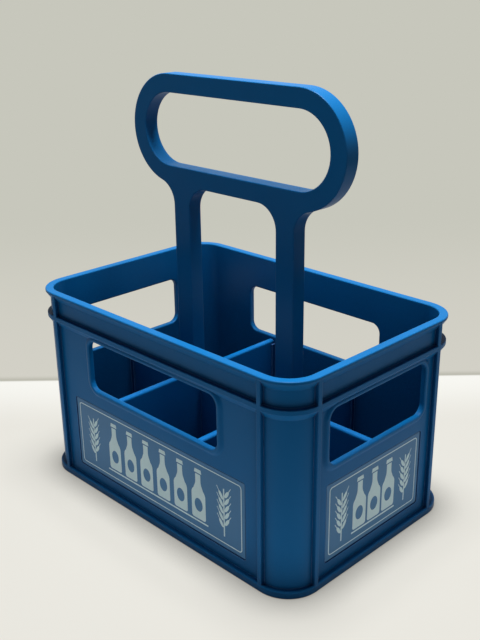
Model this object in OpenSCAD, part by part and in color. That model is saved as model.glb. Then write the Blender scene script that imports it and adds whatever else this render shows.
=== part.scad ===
// Bottle carrier: an open crate with six cells and a tall bow handle.
// Millimetres, +Z up. Long side along X, short side along Y. The origin is on the ground,
// under the middle of the crate.

/* [Crate] */
// Length over the rim
crate_length = 240; // [236:1:252]
// Depth over the rim
crate_depth = 158.6; // [156:0.2:166]
// Height of the rim's top
crate_height = 137.1; // [134:0.1:150]
// Thickness of the walls
wall = 2.6; // [2.2:0.1:3]
// Outer radius of the walls' corners
corner_radius = 20; // [16:0.5:24]
// Thickness of the floor
floor_thickness = 2.6; // [2:0.1:3]
// Height of the floor's underside above the ground
floor_lift = 4; // [3.6:0.1:6]
// Diameter of the drain hole in each cell
drain_diameter = 30; // [20:1:40]
// Width of the stiffening ribs under the floor
underrib_width = 2; // [1.6:0.1:2.4]
// Height of the stiffening ribs under the floor
underrib_height = 3; // [2:0.1:3.4]

/* [Rim] */
// How far the rim stands out from the wall
rim_overhang = 3; // [2.9:0.1:3.6]
// Height of the rim's upright edge
rim_edge = 1.8; // [1.4:0.1:2.6]
// From the rim's top down to where its sloped underside meets the wall
rim_drop = 6.3; // [5:0.1:8]
// Rounding of the rim's top edges
rim_round = 0.8; // [0.4:0.1:1.2]

/* [Band and base ring] */
// Height of the band's top face
band_top = 120.3; // [119.5:0.1:123]
// How far the band and the corner ribs stand out from the wall
band_proud = 2.8; // [2.2:0.1:2.9]
// Height of the band's upright face
band_edge = 2.8; // [2.2:0.1:3.2]
// From the band's top down to where its sloped underside meets the wall
band_drop = 7.1; // [5.5:0.1:7.4]
// How far the base ring stands out from the wall
base_proud = 3; // [2.4:0.1:3]
// Height of the base ring
base_height = 4.9; // [4:0.1:7]
// Rounding of the base ring's top edge
base_round = 1.2; // [0.6:0.1:1.6]
// Rounding of the edges of the band and the ribs
edge_round = 0.5; // [0.3:0.1:0.8]

/* [Corner ribs] */
// Width of a rib
rib_width = 3.2; // [2.6:0.1:4]
// From the crate's end to the inner edge of a rib on the long sides
rib_inset_long = 26; // [25:0.5:30]
// From the crate's side to the inner edge of a rib on the short ends
rib_inset_short = 24.9; // [24:0.1:27]

/* [Hand holes] */
// Width of the hand holes in the long sides
long_hole_width = 121.6; // [100:0.2:130]
// Width of the hand holes in the short ends
short_hole_width = 91; // [75:0.5:94]
// Height of the hand holes
hole_height = 35.4; // [30:0.1:35.6]
// Height of the hand holes' sill
hole_sill = 77.3; // [77:0.1:78]
// Corner radius of the hand holes
hole_radius = 6.5; // [6:0.5:12]
// How far the collar round a hand hole stands out from the wall
collar_proud = 1.5; // [0.8:0.1:2]
// Flat crest of the collar, which the rounding of the hole's outer edge takes up
collar_crest = 1.6; // [1.4:0.1:2]
// Whole width of the collar, with its soft slope
collar_width = 5; // [4:0.1:6]
// Rounding of a hand hole's outer edge
outer_edge_round = 0.9; // [0.8:0.1:1.4]
// Rounding of a hand hole's inner edge
inner_edge_round = 1; // [0.5:0.1:1.2]

/* [Dividers] */
// Thickness of the dividers
divider_thickness = 4.8; // [4:0.1:5]
// Height of the dividers' top edge above the ground
divider_top = 74.8; // [70:0.1:75]
// Distance between the middles of the two crosswise dividers
cross_spacing = 77.4; // [76:0.1:80]
// Rounding of the dividers' top edges
divider_round = 1.5; // [0.8:0.1:1.8]
// Clearance on each side of a divider in its lap joints and guides
lap_clearance = 0.12; // [0.1:0.01:0.2]
// Thickness of the guide ribs that hold the dividers' ends
guide_thickness = 1.2; // [1:0.1:1.6]
// How far the guide ribs stand out from the inside of the wall
guide_proud = 3; // [2:0.1:4]
// From the dividers' top edge down to the top of the guide ribs
guide_drop = 3; // [2:0.1:6]

/* [Handle] */
// Thickness of the bow, along Y
bow_thickness = 10.4; // [9:0.1:11]
// Half the straight length of the grip ring
grip_half_straight = 56.4; // [50:0.1:62]
// Outer radius of the grip ring's round ends
grip_radius = 35.5; // [31:0.1:38]
// Height of the bar that the grip ring is made of
grip_bar = 12; // [10:0.1:13]
// Height of the handle's top above the ground
handle_top = 276.2; // [250:0.1:300]
// Width of a post, along X
post_width = 14.8; // [14:0.1:17]
// Distance between the posts' middles
post_spacing = 92.5; // [90:0.1:96]
// Radius of the hollows where the posts run into the ring
post_fillet = 15.6; // [8:0.1:17]
// Rounding of the bow's edges
bow_round = 0.6; // [0.4:0.1:1.2]

/* [Snap feet] */
// Clearance between a foot's two tongues and the dividers
foot_clearance = 0.25; // [0.2:0.01:0.3]
// Clearance round a foot's tongues in the floor's slots
slot_clearance = 0.3; // [0.25:0.01:0.4]
// How far a tongue's barb stands out
barb_reach = 1.2; // [0.9:0.1:1.4]
// Height of the barb's catching edge below the floor
barb_gap = 0.3; // [0.25:0.01:0.4]
// Height of a barb
barb_height = 2.6; // [2:0.1:2.9]
// Upright height of a barb's tip
barb_tip = 0.6; // [0.4:0.1:1]
// Height of the notch in the long divider that lets the tongues flex inwards
flex_notch = 24; // [18:1:30]

/* [Labels] */
// Width of the labels on the long sides
long_label_width = 163.2; // [140:0.2:170]
// Width of the labels on the short ends
short_label_width = 90.4; // [76:0.2:94]
// Height of the labels
label_height = 51.1; // [44:0.1:54]
// Height of the labels' lower edge above the ground
label_bottom = 13.1; // [10:0.1:16]
// Depth of the recess that a label lies in
label_recess = 0.8; // [0.4:0.05:0.9]
// Thickness of a label
label_thickness = 0.4; // [0.3:0.05:0.4]
// Gap round a label in its recess
label_gap = 0.75; // [0.2:0.05:0.9]
// Corner radius of a label
label_radius = 1; // [0.6:0.1:2]

/* [Hidden] */
$fn = 64;

// Colours
shell_colour = "#1f5a94";
divider_colour = "#2a6cab";
bow_colour = "#17487c";
label_colour = "#86a5c4";

// Outline of the wall, outside and inside
wall_x = crate_length / 2 - rim_overhang;
wall_y = crate_depth / 2 - rim_overhang;
inner_x = wall_x - wall;
inner_y = wall_y - wall;
inner_radius = corner_radius - wall;
rim_foot = crate_height - rim_drop;
floor_top = floor_lift + floor_thickness;
// How far a cutter runs past the face it cuts, and a root runs into what carries it
through = 1;
// How far a cutter's flange runs past the rounding it makes
flange = 0.2;

// Middle of a hand hole
hole_middle = hole_sill + hole_height / 2;
collar_steps = 6;

// Places of the dividers and posts
half_divider = divider_thickness / 2;
cross_x = cross_spacing / 2;
divider_height = divider_top - floor_top;
lap_height = floor_top + divider_height / 2;
guide_top = divider_top - guide_drop;
post_x = post_spacing / 2;
post_inner = post_x - post_width / 2;
post_outer = post_x + post_width / 2;
half_bow = bow_thickness / 2;
long_cell = (inner_x + cross_x + half_divider) / 2;
cell_y = (inner_y + half_divider) / 2;

// Grip ring
grip_middle = handle_top - grip_radius;
grip_bottom = grip_middle - grip_radius;

// Tongues of a foot, on both sides of the long divider
tongue_from = max(post_inner, cross_x + half_divider + foot_clearance);
tongue_inner = half_divider + foot_clearance;
tongue_bottom = floor_lift - barb_gap - barb_height;
slot_inner = max(tongue_inner - barb_reach - slot_clearance, underrib_width / 2);

// Points of a polygon whose corners are rounded by the radii given for them. The turn at a
// corner is taken between -180 and 180 degrees, whichever way the corner points.
function rounded(points, radii, steps = 4) = [
  for (i = [0 : len(points) - 1])
    let (
      corner = points[i],
      before = points[(i + len(points) - 1) % len(points)] - corner,
      after = points[(i + 1) % len(points)] - corner,
      u = before / norm(before),
      v = after / norm(after),
      half = acos(u * v) / 2,
      centre = corner + (u + v) / norm(u + v) * radii[i] / sin(half),
      start = corner + u * radii[i] / tan(half) - centre,
      end = corner + v * radii[i] / tan(half) - centre,
      from = atan2(start.y, start.x),
      turn = (atan2(end.y, end.x) - from + 540) % 360 - 180
    )
    each radii[i] == 0
      ? [corner]
      : [for (k = [0 : steps]) let (at = from + turn * k / steps) centre + radii[i] * [cos(at), sin(at)]]
];

// Rounded rectangle about the origin
module rounded_rectangle(half_x, half_y, radius) {
  square([2 * half_x, 2 * (half_y - radius)], center = true);
  square([2 * (half_x - radius), 2 * half_y], center = true);
  for (x = [-1, 1], y = [-1, 1])
    translate([x * (half_x - radius), y * (half_y - radius)]) circle(radius);
}

// Sweeps a profile round a rounded rectangle. The profile's x runs outwards from the outline,
// its y is the height along Z.
module swept(half_x, half_y, radius) {
  straight_x = half_x - radius;
  straight_y = half_y - radius;
  for (side = [0, 1]) {
    mirror([0, side, 0])
      translate([-straight_x, half_y, 0])
        rotate([90, 0, 90]) linear_extrude(2 * straight_x) children();
    // A grip ring's round ends meet, with no straight run between them
    if (straight_y > 0)
      mirror([side, 0, 0])
        translate([half_x, straight_y, 0])
          rotate([90, 0, 0]) linear_extrude(2 * straight_y) children();
    for (end = [0, 1])
      mirror([side, 0, 0]) mirror([0, end, 0])
        translate([straight_x, straight_y, 0])
          rotate_extrude(angle = 90) translate([radius, 0]) children();
  }
}

// Puts its children, drawn on XY with +Z outwards, on the outside of each wall
module on_long_sides() {
  for (turn = [0, 180])
    rotate(turn) translate([0, -wall_y, 0]) rotate([90, 0, 0]) children();
}

module on_short_ends() {
  for (turn = [90, 270])
    rotate(turn) translate([0, -wall_x, 0]) rotate([90, 0, 0]) children();
}

module rim_profile() {
  polygon(rounded(
    [[-wall, rim_foot], [0, rim_foot], [rim_overhang, crate_height - rim_edge],
     [rim_overhang, crate_height], [-wall, crate_height]],
    [0, 0, edge_round, rim_round, rim_round]
  ));
}

module band_profile() {
  polygon(rounded(
    [[-wall / 2, band_top - band_drop], [0, band_top - band_drop], [band_proud, band_top - band_edge],
     [band_proud, band_top], [-wall / 2, band_top]],
    [0, 0, edge_round, edge_round, 0]
  ));
}

module base_profile() {
  polygon(rounded(
    [[-wall / 2, 0], [base_proud, 0], [base_proud, base_height], [-wall / 2, base_height]],
    [0, edge_round, base_round, 0]
  ));
}

// Upright rib, standing out along +Y from y = 0
module rib_profile() {
  polygon(rounded(
    [[0, -wall / 2], [rib_width, -wall / 2], [rib_width, band_proud], [0, band_proud]],
    [0, 0, edge_round, edge_round]
  ));
}

module corner_ribs() {
  for (x = [0, 1], y = [0, 1])
    mirror([x, 0, 0]) mirror([0, y, 0]) {
      translate([crate_length / 2 - rib_inset_long, wall_y, 0])
        linear_extrude(crate_height - rim_edge) rib_profile();
      translate([wall_x, crate_depth / 2 - rib_inset_short + rib_width, 0])
        rotate(-90) linear_extrude(crate_height - rim_edge) rib_profile();
    }
}

// Collar round a hand hole: a crest at the hole, then a soft slope down to the wall
module collar_profile() {
  slope = collar_width - collar_crest;
  polygon([
    [0, -wall / 2],
    [0, collar_proud],
    for (k = [0 : collar_steps])
      [collar_crest + slope * k / collar_steps, collar_proud * (1 + cos(180 * k / collar_steps)) / 2],
    [collar_width, -wall / 2]
  ]);
}

module collar(width) {
  translate([0, hole_middle, 0])
    swept(width / 2, hole_height / 2, hole_radius) collar_profile();
}

// What a hand hole takes away: the hole and the rounding of its two edges
module hole_edge_profile() {
  outer = outer_edge_round + flange;
  inner = inner_edge_round + flange;
  polygon(rounded(
    [[-hole_radius / 2, -wall - through], [inner, -wall - through], [inner, -wall], [0, -wall],
     [0, collar_proud], [outer, collar_proud], [outer, collar_proud + through],
     [-hole_radius / 2, collar_proud + through]],
    [0, 0, 0, inner_edge_round, outer_edge_round, 0, 0, 0]
  ));
}

module hand_hole(width) {
  translate([0, hole_middle, 0]) {
    translate([0, 0, -wall - through])
      linear_extrude(wall + collar_proud + 2 * through)
        rounded_rectangle(width / 2, hole_height / 2, hole_radius);
    swept(width / 2, hole_height / 2, hole_radius) hole_edge_profile();
  }
}

module label_outline(width, grow) {
  translate([0, label_bottom + label_height / 2])
    rounded_rectangle(width / 2 + grow, label_height / 2 + grow, label_radius + grow);
}

module label_pocket(width) {
  translate([0, 0, -label_recess])
    linear_extrude(label_recess + through) label_outline(width, label_gap);
}

// Two ribs with a divider's end between them. They stand on the inside of the wall at y = 0
// and reach towards +Y.
module guide_pair() {
  for (side = [-1, 1])
    translate([
      side * (half_divider + lap_clearance + guide_thickness / 2) - guide_thickness / 2,
      -wall / 2,
      floor_lift
    ])
      cube([guide_thickness, wall / 2 + guide_proud, guide_top - floor_lift]);
}

module guides() {
  for (turn = [0, 180])
    rotate(turn)
      for (x = [-cross_x, cross_x]) translate([x, -inner_y, 0]) guide_pair();
  for (turn = [90, 270])
    rotate(turn) translate([0, -inner_x, 0]) guide_pair();
}

module floor_plate() {
  translate([0, 0, floor_lift])
    linear_extrude(floor_thickness)
      rounded_rectangle(inner_x + wall / 2, inner_y + wall / 2, inner_radius + wall / 2);
  translate([0, 0, floor_lift - underrib_height]) {
    translate([-inner_x - wall / 2, -underrib_width / 2, 0])
      cube([2 * inner_x + wall, underrib_width, underrib_height + floor_thickness / 2]);
    for (x = [-cross_x, cross_x])
      translate([x - underrib_width / 2, -inner_y - wall / 2, 0])
        cube([underrib_width, 2 * inner_y + wall, underrib_height + floor_thickness / 2]);
  }
}

module drains() {
  for (x = [-long_cell, 0, long_cell], y = [-cell_y, cell_y])
    translate([x, y, floor_lift - through])
      cylinder(d = drain_diameter, h = floor_thickness + 2 * through);
}

// Slots in the floor for a foot's tongues, with room inwards for them to flex past the barbs' edge
module foot_slots() {
  for (x = [0, 1], y = [0, 1])
    mirror([x, 0, 0]) mirror([0, y, 0])
      translate([tongue_from - slot_clearance, slot_inner, floor_lift - through])
        cube([
          post_outer - tongue_from + 2 * slot_clearance,
          half_bow + slot_clearance - slot_inner,
          floor_thickness + 2 * through
        ]);
}

module crate_body() {
  color(shell_colour)
    difference() {
      union() {
        difference() {
          linear_extrude(rim_foot) rounded_rectangle(wall_x, wall_y, corner_radius);
          translate([0, 0, -through])
            linear_extrude(rim_foot + 2 * through) rounded_rectangle(inner_x, inner_y, inner_radius);
        }
        swept(wall_x, wall_y, corner_radius) rim_profile();
        swept(wall_x, wall_y, corner_radius) band_profile();
        swept(wall_x, wall_y, corner_radius) base_profile();
        corner_ribs();
        on_long_sides() collar(long_hole_width);
        on_short_ends() collar(short_hole_width);
        floor_plate();
        guides();
      }
      on_long_sides() hand_hole(long_hole_width);
      on_short_ends() hand_hole(short_hole_width);
      on_long_sides() label_pocket(long_label_width);
      on_short_ends() label_pocket(short_label_width);
      drains();
      foot_slots();
    }
}

// A divider's cross-section, standing on the floor
module divider_profile() {
  polygon(rounded(
    [[-half_divider, floor_top], [half_divider, floor_top],
     [half_divider, divider_top], [-half_divider, divider_top]],
    [0, 0, divider_round, divider_round]
  ));
}

module lap_slot(from, to) {
  width = divider_thickness + 2 * lap_clearance;
  translate([-width / 2, -width / 2, from]) cube([width, width, to - from]);
}

module long_divider() {
  half_length = inner_x - lap_clearance;
  color(divider_colour)
    difference() {
      translate([-half_length, 0, 0])
        rotate([90, 0, 90]) linear_extrude(2 * half_length) divider_profile();
      for (x = [-cross_x, cross_x])
        translate([x, 0, 0]) lap_slot(lap_height, divider_top + through);
      for (side = [0, 1])
        mirror([side, 0, 0])
          translate([tongue_from - foot_clearance, -half_divider - through, floor_top - through])
            cube([
              post_outer - tongue_from + 2 * foot_clearance,
              divider_thickness + 2 * through,
              flex_notch + through
            ]);
    }
}

module cross_divider(x) {
  half_length = inner_y - lap_clearance;
  color(divider_colour)
    translate([x, 0, 0])
      difference() {
        translate([0, half_length, 0])
          rotate([90, 0, 0]) linear_extrude(2 * half_length) divider_profile();
        lap_slot(floor_top - through, lap_height + lap_clearance);
      }
}

module left_cross_divider() {
  cross_divider(-cross_x);
}

module right_cross_divider() {
  cross_divider(cross_x);
}

// Section of the grip ring's bar, from its outer edge inwards, with rounded edges
module bar_profile() {
  polygon(rounded(
    [[-grip_bar, -half_bow], [0, -half_bow], [0, half_bow], [-grip_bar, half_bow]],
    [bow_round, bow_round, bow_round, bow_round]
  ));
}

module post_profile() {
  polygon(rounded(
    [[post_inner, -half_bow], [post_outer, -half_bow], [post_outer, half_bow], [post_inner, half_bow]],
    [bow_round, bow_round, bow_round, bow_round]
  ));
}

// What a hollow of the bow takes away: a round plug that widens at both faces
module fillet_plug() {
  wide = post_fillet + bow_round + flange;
  rotate_extrude()
    polygon(rounded(
      [[0, -half_bow - through], [wide, -half_bow - through], [wide, -half_bow], [post_fillet, -half_bow],
       [post_fillet, half_bow], [wide, half_bow], [wide, half_bow + through], [0, half_bow + through]],
      [0, 0, 0, bow_round, bow_round, 0, 0, 0]
    ));
}

// Web that runs from a post into the ring, drawn flat: x along the crate, y is the height
module fillet_web(centre, touch, inside) {
  difference() {
    translate([0, 0, -half_bow])
      linear_extrude(bow_thickness)
        polygon([centre, touch, inside, [post_x, grip_bottom + grip_bar / 2], [post_x, centre.y]]);
    translate([centre.x, centre.y, 0]) fillet_plug();
  }
}

module bow_side() {
  inner_centre = [post_inner - post_fillet, grip_bottom - post_fillet];
  inner_touch = [inner_centre.x, grip_bottom];
  ring_end = [grip_half_straight, grip_middle];
  outer_x = post_outer + post_fillet;
  reach = grip_radius + post_fillet;
  outer_centre = [outer_x, grip_middle - sqrt(pow(reach, 2) - pow(outer_x - ring_end.x, 2))];
  inwards = (ring_end - outer_centre) / reach;
  fillet_web(inner_centre, inner_touch, inner_touch + [0, grip_bar / 2]);
  fillet_web(
    outer_centre,
    outer_centre + inwards * post_fillet,
    outer_centre + inwards * (post_fillet + grip_bar / 2)
  );
}

module tongue() {
  width = post_outer - tongue_from;
  translate([tongue_from, tongue_inner, tongue_bottom])
    cube([width, half_bow - tongue_inner, divider_top - tongue_bottom + through]);
  translate([post_outer - bow_round, 0, 0])
    rotate([90, 0, -90])
      linear_extrude(width - 2 * bow_round)
        polygon([
          [through - half_bow, tongue_bottom],
          [-half_bow, tongue_bottom],
          [-half_bow - barb_reach, tongue_bottom + barb_height - barb_tip],
          [-half_bow - barb_reach, tongue_bottom + barb_height],
          [through - half_bow, tongue_bottom + barb_height]
        ]);
}

module handle() {
  color(bow_colour) {
    translate([0, 0, grip_middle])
      rotate([90, 0, 0]) swept(grip_half_straight + grip_radius, grip_radius, grip_radius) bar_profile();
    for (side = [0, 1])
      mirror([side, 0, 0]) {
        translate([0, 0, divider_top])
          linear_extrude(grip_bottom + grip_bar / 2 - divider_top) post_profile();
        rotate([90, 0, 0]) bow_side();
        for (face = [0, 1]) mirror([0, face, 0]) tongue();
      }
  }
}

module label(width) {
  translate([0, 0, -label_recess])
    linear_extrude(label_thickness) label_outline(width, 0);
}

module front_label() {
  color(label_colour) translate([0, -wall_y, 0]) rotate([90, 0, 0]) label(long_label_width);
}

module back_label() {
  color(label_colour) rotate(180) translate([0, -wall_y, 0]) rotate([90, 0, 0]) label(long_label_width);
}

module right_label() {
  color(label_colour) rotate(90) translate([0, -wall_x, 0]) rotate([90, 0, 0]) label(short_label_width);
}

module left_label() {
  color(label_colour) rotate(270) translate([0, -wall_x, 0]) rotate([90, 0, 0]) label(short_label_width);
}

crate_body();
long_divider();
left_cross_divider();
right_cross_divider();
handle();
front_label();
right_label();
back_label();
left_label();
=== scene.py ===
"""Looks of the bottle carrier: blue moulded crate, dividers and bow handle, printed film labels."""

import math

import bpy
import bmesh
from mathutils import Matrix, Vector
from mathutils.geometry import tessellate_polygon


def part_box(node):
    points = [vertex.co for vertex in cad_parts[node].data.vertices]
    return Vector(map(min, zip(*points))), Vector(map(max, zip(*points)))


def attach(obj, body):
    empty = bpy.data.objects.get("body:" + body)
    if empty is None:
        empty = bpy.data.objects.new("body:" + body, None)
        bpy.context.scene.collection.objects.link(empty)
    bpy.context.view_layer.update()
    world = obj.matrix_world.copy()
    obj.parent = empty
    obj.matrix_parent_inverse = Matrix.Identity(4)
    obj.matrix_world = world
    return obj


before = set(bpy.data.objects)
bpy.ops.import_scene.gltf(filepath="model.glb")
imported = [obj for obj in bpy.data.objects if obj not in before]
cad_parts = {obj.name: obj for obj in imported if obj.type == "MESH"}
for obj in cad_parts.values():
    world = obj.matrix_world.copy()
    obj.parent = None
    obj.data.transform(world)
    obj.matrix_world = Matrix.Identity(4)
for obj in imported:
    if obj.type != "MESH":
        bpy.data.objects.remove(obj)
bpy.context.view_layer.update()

MM = 0.001
BODY = "root"

# Camera, solved from the crate's edges in the photograph: place in millimetres, angles in degrees
CAMERA_PLACE = (396.51, -387.06, 335.96)
CAMERA_AZIMUTH = 45.524
CAMERA_ELEVATION = 21.187
CAMERA_ROLL = 0.7525
FOCAL_PIXELS = 899.3
PICTURE_HEIGHT = 640
SENSOR_HEIGHT = 36.0
# Nearest and furthest distance that the camera sees, in metres
CLIP_START = 0.01
CLIP_END = 20.0

# Studio light: one small soft lamp close overhead, and a dim room. The lamp's place, the point it
# aims at, its width and its depth are in metres, its power in watts.
OVERHEAD_PLACE = (0.01, 0.035, 0.90)
OVERHEAD_AIM = (0, 0, 0.1)
OVERHEAD_SIZE = (0.26, 0.30)
OVERHEAD_POWER = 11.0
# What the room throws on the carrier, and how it looks to the eye, high up and low over the table
ROOM_LIGHT = "#FFFFFF"
ROOM_STRENGTH = 0.105
ROOM_COLOUR = "#C7C7BC"
ROOM_LOW_COLOUR = "#D2D0C6"

# Table top, with its distances in metres from the middle of the carrier. It ends behind the
# carrier, and past its end it has the colours of the room.
TABLE_RADIUS = 1.2
TABLE_COLOUR = "#C9C7C0"
TABLE_END = 0.170
TABLE_END_BLUR = 0.002
ROOM_COLOUR_FROM = 0.75
# Share of its paleness that doesn't depend on the lamp, and the colours of that share
OWN_PALENESS = 0.75
PALE_COLOUR = "#ECEAE2"
PALE_COLOUR_AT_END = "#FFFFFA"
PALER_FROM = 0.08
# Reach of the contact shadow round the carrier's base
CONTACT_REACH = 0.025
# What the table throws back at the carrier: much close by, little from far off, as in a dim room
BOUNCE_NEAR = "#DEDDD6"
BOUNCE_FAR = "#4A4A48"
BOUNCE_FROM = 0.22
BOUNCE_TO = 0.50
# Thin shade where the table meets the room
SEAM_COLOUR = "#B9B8AC"
SEAM_WIDTH = 0.012

# Patterns in the plastic and the film, by the width of one blotch in millimetres
CLOUD_WIDTH = 45
RUBBED_WIDTH = 18
RIPPLE_WIDTH = 9
EDGE_PATCH_WIDTH = 5
# The real grain is about 0.1 mm wide. It is drawn coarser, because finer grain doesn't show.
GRAIN_WIDTH = 0.9
# Heights of the grain and of the film's ripple, and the width of an edge painted paler, in millimetres
GRAIN_DEPTH = 0.08
RIPPLE_DEPTH = 0.05
EDGE_WIDTH = 1.2
# How alike a face's own direction and its bevelled one are where an edge starts, and at its crest
EDGE_STARTS = 0.98
EDGE_CREST = 0.80
# How far the roughness strays from its mean, at the noise values where it is smoothest and roughest
SATIN_SPREAD = 0.05
SMOOTHEST_AT = 0.3
ROUGHEST_AT = 0.7

# Painted shade: where walls stand within reach, in metres, the plastic is painted a darker navy.
# How open a surface is runs from 0 to 1: the painted shade starts at one value and is full at
# another. HOLLOW is for all walls close by. INSIDE is for the piece's own walls, further off,
# which paints the crate darker inside.
PAINTED_SHADE_COLOUR = "#04325C"
HOLLOW_REACH = 0.07
HOLLOW_STARTS = 0.75
HOLLOW_FULL = 0.25
INSIDE_REACH = 0.16
INSIDE_STARTS = 0.85
INSIDE_FULL = 0.45
INSIDE_MOST = 0.9

# Screen print on the labels, in millimetres: what stands proud, and what is sunk in the film
PRINT_PROUD = 0.05
PRINT_SUNK = 0.05
# Line round each label
BORDER_INSET = 2.6
BORDER_LINE = 0.7
BORDER_RADIUS = 2.4
# Row of bottles on a shelf, and the places of the ears of barley beside it
LONG_ROW = {"bottles": 6, "step": 16.6, "ear_x": 64}
SHORT_ROW = {"bottles": 3, "step": 14.2, "ear_x": 31}
BOTTLE_FOOT = -16.0
SHELF_DROP = 1.1
SHELF_LINE = 1.1
# Ear of barley: its kernels a side, their step, the bare stalk below them and the stalk's spare
# length past the steps, and how much higher one side starts
EAR_KERNELS = 5
EAR_STEP = 4.8
EAR_FOOT = -18.0
STALK_LINE = 1.0
STALK_BARE = 6
STALK_SPARE = 9
SIDE_STAGGER = 2


def linear(colour):
    """sRGB hex such as #1E5F9E as linear red, green, blue, alpha."""
    parts = [int(colour[i:i + 2], 16) / 255 for i in (1, 3, 5)]
    return (*[p / 12.92 if p <= 0.04045 else ((p + 0.055) / 1.055) ** 2.4 for p in parts], 1.0)


def add(tree, kind, settings=None, **inputs):
    """Adds a node. settings are its properties. inputs are values or sockets by socket name, with
    _ for a space, or by number: i0 is a mix's factor, and i6 and i7 are its two colours."""
    node = tree.nodes.new(kind)
    for name, value in (settings or {}).items():
        setattr(node, name, value)
    for name, value in inputs.items():
        key = int(name[1:]) if name[0] == "i" and name[1:].isdigit() else name.replace("_", " ")
        socket = node.inputs[key]
        if isinstance(value, bpy.types.NodeSocket):
            tree.links.new(value, socket)
        else:
            socket.default_value = value
    return node


def start_material(name):
    """A new material, its emptied node tree and the Object coordinates in it."""
    material = bpy.data.materials.new(name)
    material.use_nodes = True
    tree = material.node_tree
    tree.nodes.clear()
    place = add(tree, "ShaderNodeTexCoord").outputs["Object"]
    return material, tree, place


def finish_material(tree, shader):
    """Leads a shader to the material's output."""
    add(tree, "ShaderNodeOutputMaterial", Surface=shader.outputs[0])


def moulded_polypropylene(name, colour, deep, rubbed_and_highlit, roughness, grain_strength):
    """Injection-moulded polypropylene, dyed through. Satin, from a fine spark-eroded mould: the
    eye sees soft highlights, a faint grain, slow clouds of a deeper tone and smoother patches.
    Where walls stand close, a darker navy is painted shade. Edges are painted paler, partly as
    wear from handling and partly as a painted highlight."""
    material, tree, place = start_material(name)
    clouds = add(
        tree, "ShaderNodeTexNoise",
        Vector=place, Scale=1 / (CLOUD_WIDTH * MM), Detail=3.0, Roughness=0.5,
    )
    tone = add(
        tree, "ShaderNodeMix", {"data_type": "RGBA"},
        i0=clouds.outputs["Fac"], i6=linear(deep), i7=linear(colour),
    )
    # Painted shade: darker navy where walls stand close, near or further off, whichever is more
    near_walls = add(tree, "ShaderNodeAmbientOcclusion", {"samples": 4}, Distance=HOLLOW_REACH)
    hollow_shade = add(
        tree, "ShaderNodeMapRange",
        Value=near_walls.outputs["AO"], From_Min=HOLLOW_STARTS, From_Max=HOLLOW_FULL,
    )
    own_walls = add(
        tree, "ShaderNodeAmbientOcclusion", {"samples": 4, "only_local": True},
        Distance=INSIDE_REACH,
    )
    inside_shade = add(
        tree, "ShaderNodeMapRange",
        Value=own_walls.outputs["AO"], From_Min=INSIDE_STARTS, From_Max=INSIDE_FULL, To_Max=INSIDE_MOST,
    )
    painted_shade = add(
        tree, "ShaderNodeMath", {"operation": "MAXIMUM"},
        i0=hollow_shade.outputs[0], i1=inside_shade.outputs[0],
    )
    body = add(
        tree, "ShaderNodeMix", {"data_type": "RGBA"},
        i0=painted_shade.outputs[0], i6=tone.outputs[2], i7=linear(PAINTED_SHADE_COLOUR),
    )
    # Where a bevel would turn the surface, there is an edge
    surface = add(tree, "ShaderNodeNewGeometry")
    bevel = add(tree, "ShaderNodeBevel", {"samples": 6}, Radius=EDGE_WIDTH * MM)
    alike = add(
        tree, "ShaderNodeVectorMath", {"operation": "DOT_PRODUCT"},
        i0=surface.outputs["Normal"], i1=bevel.outputs["Normal"],
    )
    edge = add(
        tree, "ShaderNodeMapRange",
        Value=alike.outputs["Value"], From_Min=EDGE_STARTS, From_Max=EDGE_CREST,
    )
    edge_patches = add(
        tree, "ShaderNodeTexNoise",
        Vector=place, Scale=1 / (EDGE_PATCH_WIDTH * MM), Detail=3.0, Roughness=0.65,
    )
    # Edges painted paler in patches: partly wear from handling, partly a painted highlight
    wear_and_highlight = add(
        tree, "ShaderNodeMath", {"operation": "MULTIPLY"},
        i0=edge.outputs[0], i1=edge_patches.outputs["Fac"],
    )
    tone_shade_and_highlight = add(
        tree, "ShaderNodeMix", {"data_type": "RGBA"},
        i0=wear_and_highlight.outputs[0], i6=body.outputs[2], i7=linear(rubbed_and_highlit),
    )
    # Patches two fingers wide where hands have made the satin a little smoother
    patches = add(
        tree, "ShaderNodeTexNoise",
        Vector=place, Scale=1 / (RUBBED_WIDTH * MM), Detail=4.0, Roughness=0.6,
    )
    satin = add(
        tree, "ShaderNodeMapRange",
        Value=patches.outputs["Fac"], From_Min=SMOOTHEST_AT, From_Max=ROUGHEST_AT,
        To_Min=roughness - SATIN_SPREAD, To_Max=roughness + SATIN_SPREAD,
    )
    grain = add(
        tree, "ShaderNodeTexNoise",
        Vector=place, Scale=1 / (GRAIN_WIDTH * MM), Detail=2.0, Roughness=0.6,
    )
    relief = add(
        tree, "ShaderNodeBump",
        Height=grain.outputs["Fac"], Strength=grain_strength, Distance=GRAIN_DEPTH * MM,
    )
    shader = add(
        tree, "ShaderNodeBsdfPrincipled",
        Base_Color=tone_shade_and_highlight.outputs[2], Roughness=satin.outputs[0], IOR=1.49, Specular_IOR_Level=0.09,
        Normal=relief.outputs[0],
    )
    finish_material(tree, shader)
    return material


def printed_film(name, colour, deep, roughness, mottle):
    """In-mould film or screen ink: smooth and a little glossier than the wall, with a faint drift
    in its tint, mottle millimetres wide."""
    material, tree, place = start_material(name)
    drift = add(tree, "ShaderNodeTexNoise", Vector=place, Scale=1 / (mottle * MM), Detail=3.0)
    tone = add(
        tree, "ShaderNodeMix", {"data_type": "RGBA"},
        i0=drift.outputs["Fac"], i6=linear(deep), i7=linear(colour),
    )
    ripple = add(tree, "ShaderNodeTexNoise", Vector=place, Scale=1 / (RIPPLE_WIDTH * MM), Detail=1.0)
    relief = add(
        tree, "ShaderNodeBump",
        Height=ripple.outputs["Fac"], Strength=0.3, Distance=RIPPLE_DEPTH * MM,
    )
    shader = add(
        tree, "ShaderNodeBsdfPrincipled",
        Base_Color=tone.outputs[2], Roughness=roughness, IOR=1.5, Specular_IOR_Level=0.2,
        Normal=relief.outputs[0],
    )
    finish_material(tree, shader)
    return material


# Each paler edge colour is partly wear from handling and partly a painted edge highlight
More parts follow.
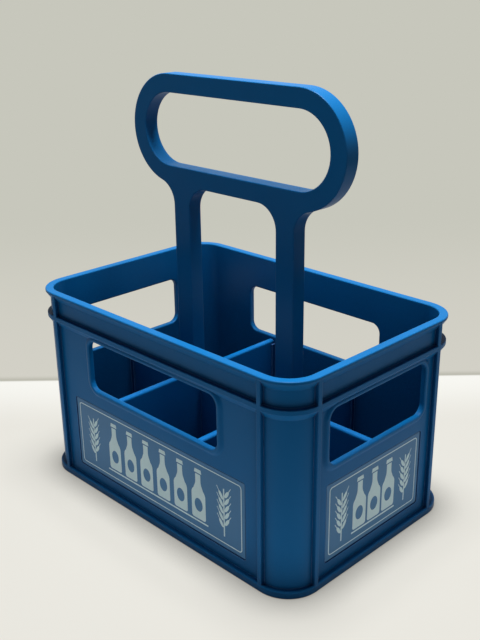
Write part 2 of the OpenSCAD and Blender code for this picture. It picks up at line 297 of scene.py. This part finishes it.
CRATE = moulded_polypropylene(
    "moulded_polypropylene_crate", colour="#096BAC", deep="#0865A4", rubbed_and_highlit="#6284BC",
    roughness=0.38, grain_strength=0.35,
)
DIVIDER = moulded_polypropylene(
    "moulded_polypropylene_dividers", colour="#096BB2", deep="#0866AA", rubbed_and_highlit="#6286BE",
    roughness=0.38, grain_strength=0.35,
)
BOW = moulded_polypropylene(
    "moulded_polypropylene_bow", colour="#0865A3", deep="#085F9B", rubbed_and_highlit="#587AB2",
    roughness=0.34, grain_strength=0.30,
)
FILM = printed_film("in_mould_film", colour="#4281B7", deep="#3D7AAD", roughness=0.30, mottle=30)
INK = printed_film("screen_ink", colour="#DAF4FC", deep="#D0EDF8", roughness=0.45, mottle=2.5)


def show_with(node, material):
    """Puts a material on a CAD node, which keeps its shape."""
    mesh_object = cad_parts[node]
    mesh_object.data.materials.clear()
    mesh_object.data.materials.append(material)


show_with("crate_body", CRATE)
show_with("handle", BOW)
for divider in ("long_divider", "left_cross_divider", "right_cross_divider"):
    show_with(divider, DIVIDER)
for label in ("front_label", "right_label", "back_label", "left_label"):
    show_with(label, FILM)


def arc(centre_x, centre_y, radius_x, radius_y, start, end, steps):
    """Points along an elliptic arc, with the angles in degrees."""
    angles = [math.radians(start + (end - start) * k / steps) for k in range(steps + 1)]
    return [(centre_x + radius_x * math.cos(a), centre_y + radius_y * math.sin(a)) for a in angles]


def plate(outline, holes=()):
    """Flat plate of printed ink as a closed mesh, in millimetres. It is drawn on XY, sunk below
    z = 0 and proud above it."""
    loops = [outline, *holes]
    points = [point for loop in loops for point in loop]
    triangles = tessellate_polygon([[Vector((*point, 0)) for point in loop] for loop in loops])
    shape = bmesh.new()
    top = [shape.verts.new((*point, PRINT_PROUD)) for point in points]
    bottom = [shape.verts.new((*point, -PRINT_SUNK)) for point in points]
    for a, b, c in triangles:
        shape.faces.new((top[a], top[b], top[c]))
        shape.faces.new((bottom[c], bottom[b], bottom[a]))
    first = 0
    for loop in loops:
        for k in range(len(loop)):
            a, b = first + k, first + (k + 1) % len(loop)
            shape.faces.new((bottom[a], bottom[b], top[b], top[a]))
        first += len(loop)
    bmesh.ops.recalc_face_normals(shape, faces=shape.faces)
    mesh = bpy.data.meshes.new("plate")
    shape.to_mesh(mesh)
    shape.free()
    return mesh


def bottle_plate():
    """A bottle seen from the side, standing on y = 0, with an oval left bare on its body."""
    half_body, foot_radius = 6.2, 1.6
    shoulder_radius, shoulder_height = 5.2, 16.8
    half_neck, neck_height, mouth_height = 2.3, 27.2, 31.5
    throat_x, throat_y = 2.9, 5.4
    oval_height, oval_x, oval_y, oval_points = 10.0, 3.6, 4.7, 24
    side = [
        *arc(half_body - foot_radius, foot_radius, foot_radius, foot_radius, -90, 0, 4),
        *arc(half_body - shoulder_radius, shoulder_height, shoulder_radius, shoulder_radius, 0, 50, 5),
        *arc(half_neck + throat_x, neck_height, throat_x, throat_y, 215, 180, 4),
        (half_neck, mouth_height),
    ]
    outline = side + [(-x, y) for x, y in reversed(side)]
    oval = arc(0, oval_height, oval_x, oval_y, 360, 360 / oval_points, oval_points - 1)
    return plate(outline, [oval])


def cap_plate():
    """The crown cap of a bottle, a step above its mouth."""
    half_skirt, half_top = 3.2, 2.7
    low, high = 32.3, 34.9
    return plate([(-half_skirt, low), (half_skirt, low), (half_top, high), (-half_top, high)])


def kernel_plate(side):
    """A kernel of barley beside its stalk, leaning away from it, with its bristle."""
    lean = math.radians(-33 * side)
    off_stalk = 0.8 * side
    half_width, half_length = 1.15, 3.1
    half_root, root_height = 0.25, 6.6
    half_tip, tip_height = 0.2, 9.5
    kernel = [
        *arc(0, half_length, half_width, half_length, -90, 75, 8),
        (half_root, root_height), (half_tip, tip_height), (-half_tip, tip_height), (-half_root, root_height),
        *arc(0, half_length, half_width, half_length, 105, 262, 8),
    ]
    return plate([
        (off_stalk + x * math.cos(lean) - y * math.sin(lean), x * math.sin(lean) + y * math.cos(lean))
        for x, y in kernel
    ])


def bar_plate(width, height):
    """A straight bar that stands on its middle."""
    return plate([(-width / 2, 0), (width / 2, 0), (width / 2, height), (-width / 2, height)])


def border_plate(width, height):
    """A thin line round a label, with round corners."""
    def outline(inset, radius):
        x, y = width / 2 - inset - radius, height / 2 - inset - radius
        return [
            *arc(x, y, radius, radius, 0, 90, 6), *arc(-x, y, radius, radius, 90, 180, 6),
            *arc(-x, -y, radius, radius, 180, 270, 6), *arc(x, -y, radius, radius, 270, 360, 6),
        ]
    inner = outline(BORDER_INSET + BORDER_LINE, BORDER_RADIUS - BORDER_LINE)
    return plate(outline(BORDER_INSET, BORDER_RADIUS), [list(reversed(inner))])


def row_tree():
    """Geometry Nodes that set a motif out in a straight row: its count and its step are inputs."""
    tree = bpy.data.node_groups.new("row_of_motifs", "GeometryNodeTree")
    sockets = (
        ("Geometry", "NodeSocketGeometry"), ("Count", "NodeSocketInt"), ("Step", "NodeSocketVector"),
        ("Material", "NodeSocketMaterial"),
    )
    for name, kind in sockets:
        tree.interface.new_socket(name, in_out="INPUT", socket_type=kind)
    tree.interface.new_socket("Geometry", in_out="OUTPUT", socket_type="NodeSocketGeometry")
    given = add(tree, "NodeGroupInput").outputs
    line = add(tree, "GeometryNodeMeshLine", Count=given["Count"], Offset=given["Step"])
    placed = add(
        tree, "GeometryNodeInstanceOnPoints",
        Points=line.outputs[0], Instance=given["Geometry"],
    )
    real = add(tree, "GeometryNodeRealizeInstances", Geometry=placed.outputs[0])
    inked = add(tree, "GeometryNodeSetMaterial", Geometry=real.outputs[0], Material=given["Material"])
    add(tree, "NodeGroupOutput", i0=inked.outputs[0])
    return tree


ROW = row_tree()


def row(motif, count, step):
    """A plain mesh of count copies of a motif, one step apart."""
    holder = bpy.data.objects.new("row", motif)
    bpy.context.scene.collection.objects.link(holder)
    modifier = holder.modifiers.new("row", "NODES")
    modifier.node_group = ROW
    values = {"Count": count, "Step": step, "Material": INK}
    for socket in ROW.interface.items_tree:
        if socket.in_out == "INPUT" and socket.name in values:
            modifier[socket.identifier] = values[socket.name]
    evaluated = holder.evaluated_get(bpy.context.evaluated_depsgraph_get())
    mesh = bpy.data.meshes.new_from_object(evaluated)
    bpy.data.objects.remove(holder)
    return mesh


def ear(foot_x):
    """An ear of barley on its stalk: two rows of kernels, one of them starting higher."""
    stalk = bar_plate(STALK_LINE, STALK_SPARE + EAR_KERNELS * EAR_STEP)
    parts = [(stalk, (foot_x, EAR_FOOT))]
    for side, raised in ((-1, 0), (1, SIDE_STAGGER)):
        kernels = row(kernel_plate(side), EAR_KERNELS, (0, EAR_STEP, 0))
        parts.append((kernels, (foot_x, EAR_FOOT + STALK_BARE + raised)))
    return parts


def print_on(label, name, turn, bottles, step, ear_x):
    """Prints border, bottles and ears on a label. turn is its wall's angle about Z, in degrees."""
    low, high = (Vector(corner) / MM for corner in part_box(label))
    middle = (low + high) / 2
    wide = max(high.x - low.x, high.y - low.y)
    turned = Matrix.Rotation(math.radians(turn), 4, "Z")
    outwards = turned @ Vector((0, -1, 0))
    reach = (high - middle).dot(Vector([abs(c) for c in outwards]))
    face = middle + outwards * reach
    to_label = Matrix.Translation(face) @ turned @ Matrix.Rotation(math.radians(90), 4, "X")
    first_x = -step * (bottles - 1) / 2
    along = (step, 0, 0)
    parts = [
        (border_plate(wide, high.z - low.z), (0, 0)),
        (row(bottle_plate(), bottles, along), (first_x, BOTTLE_FOOT)),
        (row(cap_plate(), bottles, along), (first_x, BOTTLE_FOOT)),
        (bar_plate(step * bottles, SHELF_LINE), (0, BOTTLE_FOOT - SHELF_DROP - SHELF_LINE)),
        *ear(-ear_x),
        *ear(ear_x),
    ]
    shape = bmesh.new()
    for mesh, (x, y) in parts:
        before = len(shape.verts)
        shape.from_mesh(mesh)
        shape.verts.ensure_lookup_table()
        bmesh.ops.translate(shape, vec=(x, y, 0), verts=shape.verts[before:])
    bmesh.ops.transform(shape, matrix=Matrix.Scale(MM, 4) @ to_label, verts=shape.verts)
    mesh = bpy.data.meshes.new(name)
    shape.to_mesh(mesh)
    shape.free()
    mesh.materials.clear()
    mesh.materials.append(INK)
    piece = bpy.data.objects.new(name, mesh)
    bpy.context.scene.collection.objects.link(piece)
    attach(piece, BODY)


print_on("front_label", "front_print", 0, **LONG_ROW)
print_on("right_label", "right_print", 90, **SHORT_ROW)
print_on("back_label", "back_print", 180, **LONG_ROW)
print_on("left_label", "left_print", 270, **SHORT_ROW)


def make_camera():
    """The photograph's camera, turned about its own axis by the roll."""
    azimuth, elevation, roll = (math.radians(a) for a in (CAMERA_AZIMUTH, CAMERA_ELEVATION, CAMERA_ROLL))
    forward = Vector((
        -math.sin(azimuth) * math.cos(elevation),
        math.cos(azimuth) * math.cos(elevation),
        -math.sin(elevation),
    ))
    level = Vector((math.cos(azimuth), math.sin(azimuth), 0))
    right = math.cos(roll) * level + math.sin(roll) * forward.cross(level)
    down = forward.cross(right)
    camera = bpy.data.objects.new("camera", bpy.data.cameras.new("camera"))
    camera.matrix_world = Matrix.Translation([c * MM for c in CAMERA_PLACE]) @ Matrix((
        (right.x, -down.x, -forward.x),
        (right.y, -down.y, -forward.y),
        (right.z, -down.z, -forward.z),
    )).to_4x4()
    camera.data.sensor_fit = "VERTICAL"
    camera.data.sensor_height = SENSOR_HEIGHT
    camera.data.lens = SENSOR_HEIGHT * FOCAL_PIXELS / PICTURE_HEIGHT
    camera.data.clip_start = CLIP_START
    camera.data.clip_end = CLIP_END
    bpy.context.scene.collection.objects.link(camera)
    bpy.context.scene.camera = camera


def make_overhead_lamp():
    """The one lamp, a soft rectangle over the carrier."""
    lamp = bpy.data.lights.new("overhead", "AREA")
    lamp.shape = "RECTANGLE"
    lamp.size, lamp.size_y = OVERHEAD_SIZE
    lamp.energy = OVERHEAD_POWER
    light = bpy.data.objects.new("overhead", lamp)
    light.location = OVERHEAD_PLACE
    aim = Vector(OVERHEAD_AIM) - Vector(OVERHEAD_PLACE)
    light.rotation_euler = aim.to_track_quat("-Z", "Y").to_euler()
    bpy.context.scene.collection.objects.link(light)


def looked_at(tree):
    """1 for what the eye sees, straight, mirrored in a sheen or through something clear, else 0."""
    path = add(tree, "ShaderNodeLightPath").outputs
    seen = path["Is Camera Ray"]
    for ray in ("Is Glossy Ray", "Is Transmission Ray"):
        seen = add(tree, "ShaderNodeMath", {"operation": "MAXIMUM"}, i0=seen, i1=path[ray]).outputs[0]
    return seen


def make_room():
    """The dim room round the table, which looks paler than the light it throws."""
    world = bpy.data.worlds.new("room")
    bpy.context.scene.world = world
    world.use_nodes = True
    tree = world.node_tree
    tree.nodes.clear()
    seen = add(tree, "ShaderNodeBackground", Color=linear(ROOM_COLOUR), Strength=1.0)
    lighting = add(tree, "ShaderNodeBackground", Color=linear(ROOM_LIGHT), Strength=ROOM_STRENGTH)
    mixed = add(
        tree, "ShaderNodeMixShader",
        i0=looked_at(tree), i1=lighting.outputs[0], i2=seen.outputs[0],
    )
    add(tree, "ShaderNodeOutputWorld", Surface=mixed.outputs[0])


def table_top():
    """Matt pale laminate. The eye sees it evenly pale, with a soft shadow and a narrow dark one
    round the carrier's base. Its far edge runs square to the camera's azimuth, and past it the
    table is painted as the room's wall."""
    material, tree, place = start_material("pale_table_top")
    azimuth = math.radians(CAMERA_AZIMUTH)
    away = add(
        tree, "ShaderNodeVectorMath", {"operation": "DOT_PRODUCT"},
        i0=place, i1=(-math.sin(azimuth), math.cos(azimuth), 0),
    ).outputs["Value"]
    # The table's own paleness keeps the wide shadow light. It darkens only close to the base.
    to_end = add(
        tree, "ShaderNodeMapRange", {"interpolation_type": "SMOOTHSTEP"},
        Value=away, From_Min=PALER_FROM, From_Max=TABLE_END,
    )
    paleness = add(
        tree, "ShaderNodeMix", {"data_type": "RGBA"},
        i0=to_end.outputs[0], i6=linear(PALE_COLOUR), i7=linear(PALE_COLOUR_AT_END),
    )
    under = add(tree, "ShaderNodeAmbientOcclusion", {"samples": 8}, Distance=CONTACT_REACH)
    glow = add(tree, "ShaderNodeEmission", Color=paleness.outputs[2], Strength=under.outputs["AO"])
    lit = add(tree, "ShaderNodeBsdfDiffuse", Color=linear(TABLE_COLOUR))
    table = add(tree, "ShaderNodeMixShader", i0=OWN_PALENESS, i1=lit.outputs[0], i2=glow.outputs[0])
    # The room's wall is a little paler close over the table, but for the thin shade at the seam
    up_wall = add(
        tree, "ShaderNodeMapRange", {"interpolation_type": "SMOOTHSTEP"},
        Value=away, From_Min=TABLE_END, From_Max=ROOM_COLOUR_FROM,
    )
    wall = add(
        tree, "ShaderNodeMix", {"data_type": "RGBA"},
        i0=up_wall.outputs[0], i6=linear(ROOM_LOW_COLOUR), i7=linear(ROOM_COLOUR),
    )
    past_seam = add(
        tree, "ShaderNodeMapRange", {"interpolation_type": "SMOOTHSTEP"},
        Value=away, From_Min=TABLE_END, From_Max=TABLE_END + SEAM_WIDTH,
    )
    shaded = add(
        tree, "ShaderNodeMix", {"data_type": "RGBA"},
        i0=past_seam.outputs[0], i6=linear(SEAM_COLOUR), i7=wall.outputs[2],
    )
    room = add(tree, "ShaderNodeEmission", Color=shaded.outputs[2], Strength=1.0)
    past_end = add(
        tree, "ShaderNodeMapRange", {"interpolation_type": "SMOOTHSTEP"},
        Value=away, From_Min=TABLE_END - TABLE_END_BLUR, From_Max=TABLE_END + TABLE_END_BLUR,
    )
    seen = add(
        tree, "ShaderNodeMixShader",
        i0=past_end.outputs[0], i1=table.outputs[0], i2=room.outputs[0],
    )
    # The light that the table throws on the carrier is less than its paleness would give
    distance = add(tree, "ShaderNodeVectorMath", {"operation": "LENGTH"}, i0=place)
    far_off = add(
        tree, "ShaderNodeMapRange", {"interpolation_type": "SMOOTHSTEP"},
        Value=distance.outputs["Value"], From_Min=BOUNCE_FROM, From_Max=BOUNCE_TO,
    )
    thrown = add(
        tree, "ShaderNodeMix", {"data_type": "RGBA"},
        i0=far_off.outputs[0], i6=linear(BOUNCE_NEAR), i7=linear(BOUNCE_FAR),
    )
    bounce = add(tree, "ShaderNodeBsdfDiffuse", Color=thrown.outputs[2])
    mixed = add(
        tree, "ShaderNodeMixShader",
        i0=looked_at(tree), i1=bounce.outputs[0], i2=seen.outputs[0],
    )
    finish_material(tree, mixed)
    return material


def make_floor():
    """The round table top that the carrier stands on."""
    mesh = bpy.data.meshes.new("floor")
    shape = bmesh.new()
    bmesh.ops.create_circle(shape, cap_ends=True, segments=128, radius=TABLE_RADIUS)
    shape.to_mesh(mesh)
    shape.free()
    mesh.materials.append(table_top())
    floor = bpy.data.objects.new("floor", mesh)
    bpy.context.scene.collection.objects.link(floor)


make_camera()
make_overhead_lamp()
make_room()
make_floor()

bpy.context.scene.view_settings.view_transform = "Standard"
